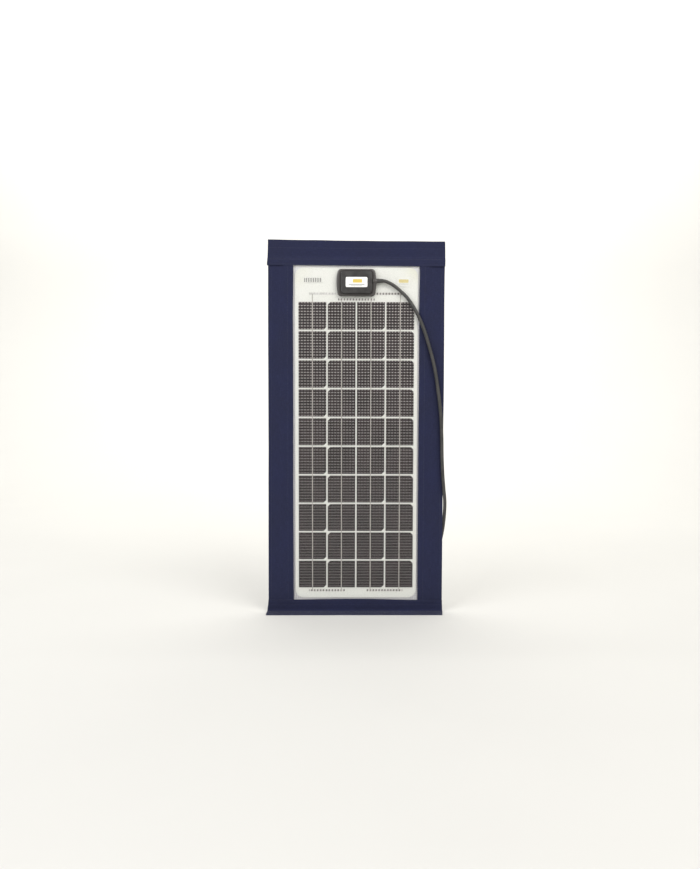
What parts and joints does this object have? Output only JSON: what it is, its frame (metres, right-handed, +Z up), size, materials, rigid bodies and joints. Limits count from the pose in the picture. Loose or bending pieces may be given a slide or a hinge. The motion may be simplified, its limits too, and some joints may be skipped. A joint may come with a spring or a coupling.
{
  "type": "solar panel",
  "caption": "Narrow marine solar panel sewn into a navy canvas frame, with a junction box, a rubber cable and a round plug, standing on its folded bottom margin.",
  "frame": {"origin": "on the floor, below the middle of the panel and its folded foot", "axes": "+Z up, -Y out of the lit face, +X to the right seen from the front"},
  "size_m": [0.4105, 0.1078, 0.8532],
  "materials": {
    "navy_canvas": "woven acrylic canvas",
    "clear_film": "embossed clear film",
    "white_film": "satin white",
    "grey_film": "satin grey",
    "silicon": "dark cells with fine silver fingers",
    "tinned_copper": "tinned",
    "aluminium": "mill",
    "black_plastic": "fine moulded grain",
    "ring_plastic": "ribbed",
    "black_rubber": "matt",
    "white_paper": "printed slip",
    "brass": "plain"
  },
  "bodies": {
    "panel": {"canvas_left": "navy_canvas", "canvas_right": "navy_canvas", "canvas_top": "navy_canvas", "canvas_bottom": "navy_canvas", "front_film": "clear_film", "backing_film": "white_film", "rear_film": "grey_film", "cell_string_1": "silicon", "cell_string_2": "silicon", "cell_string_3": "silicon", "cell_string_4": "silicon", "bus_top_left": "tinned_copper", "bus_top_right": "tinned_copper", "bus_top_link": "tinned_copper", "bus_bottom_left": "tinned_copper", "bus_bottom_right": "tinned_copper", "carrier_plate": "aluminium", "box_base": "black_plastic", "box_lid": "black_plastic", "terminal_board": "black_plastic", "bypass_diode_1": "black_plastic", "bypass_diode_2": "black_plastic", "plug_shell": "black_plastic", "plug_insert": "black_plastic", "box_pad": "black_rubber", "lid_gasket": "black_rubber", "core_plus": "black_rubber", "core_minus": "black_rubber", "cable_gland": "black_rubber", "strain_relief": "black_rubber", "cable": "black_rubber", "cable_hank": "black_rubber", "cable_tail": "black_rubber", "hank_tie_1": "black_rubber", "hank_tie_2": "black_rubber", "plug_boot": "black_rubber", "plug_seal": "black_rubber", "serial_label": "white_paper", "rating_label": "white_paper", "box_label": "white_paper", "terminal_plus": "brass", "terminal_minus": "brass", "plug_pin_plus": "brass", "plug_pin_minus": "brass"},
    "top_margin": {"top_flap": "navy_canvas"},
    "bottom_margin": {"bottom_flap": "navy_canvas"},
    "coupling_ring": {"plug_ring": "ring_plastic"}
  },
  "joints": [
    {"name": "top_fold", "type": "hinge", "parent": "panel", "child": "top_margin", "pos_m": [0, 0.0155, 0.8185], "axis": [1, 0, 0], "range_deg": [-125, 125]},
    {"name": "bottom_fold", "type": "hinge", "parent": "panel", "child": "bottom_margin", "pos_m": [0, 0.01188, 0.0024], "axis": [-1, 0, 0], "range_deg": [0, 90]},
    {"name": "ring_turn", "type": "hinge", "parent": "panel", "child": "coupling_ring", "pos_m": [0.1703, 0.0762, 0.0118], "axis": [1, 0, 0], "continuous": true}
  ]
}
